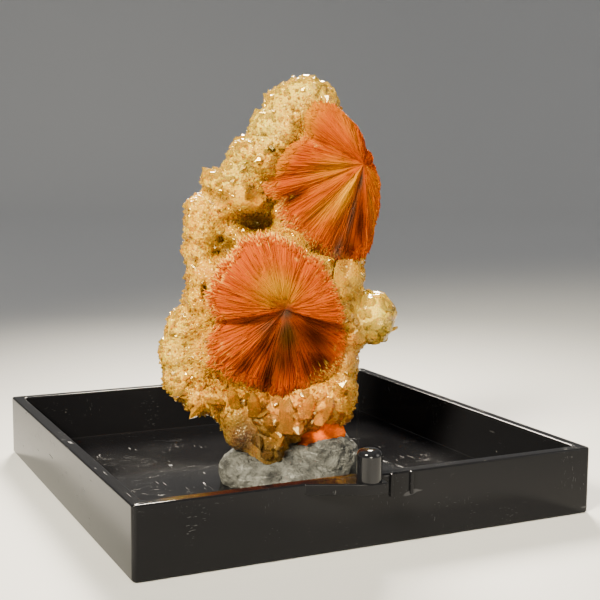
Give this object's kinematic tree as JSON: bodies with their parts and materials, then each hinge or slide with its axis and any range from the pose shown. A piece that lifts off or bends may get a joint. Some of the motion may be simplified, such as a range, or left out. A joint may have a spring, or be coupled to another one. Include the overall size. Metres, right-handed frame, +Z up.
{
  "type": "mineral specimen of scolecite with chalcedony in a display box base",
  "caption": "Sprays of orange scolecite in knobbly pale chalcedony, standing in grey putty on the floor of an open shallow black display box base.",
  "frame": {"origin": "middle of the underside of the display box base", "axes": "+Z up, -Y towards the box's catch; the specimen faces -Y, turned about 26 degrees towards -X"},
  "size_m": [0.076, 0.08, 0.0708],
  "materials": {
    "black_styrene": "polished moulded plastic",
    "grey_putty": "matt pressed putty",
    "pale_chalcedony": "sugary crystal skin, translucent",
    "orange_scolecite": "silky radiating needles",
    "deep_scolecite": "silky radiating needles"
  },
  "bodies": {
    "root": {"display_box_base": "black_styrene", "putty_mound": "grey_putty", "chalcedony_matrix": "pale_chalcedony", "scolecite_spray_upper": "orange_scolecite", "scolecite_spray_lower": "orange_scolecite", "scolecite_foot": "deep_scolecite"}
  },
  "joints": []
}
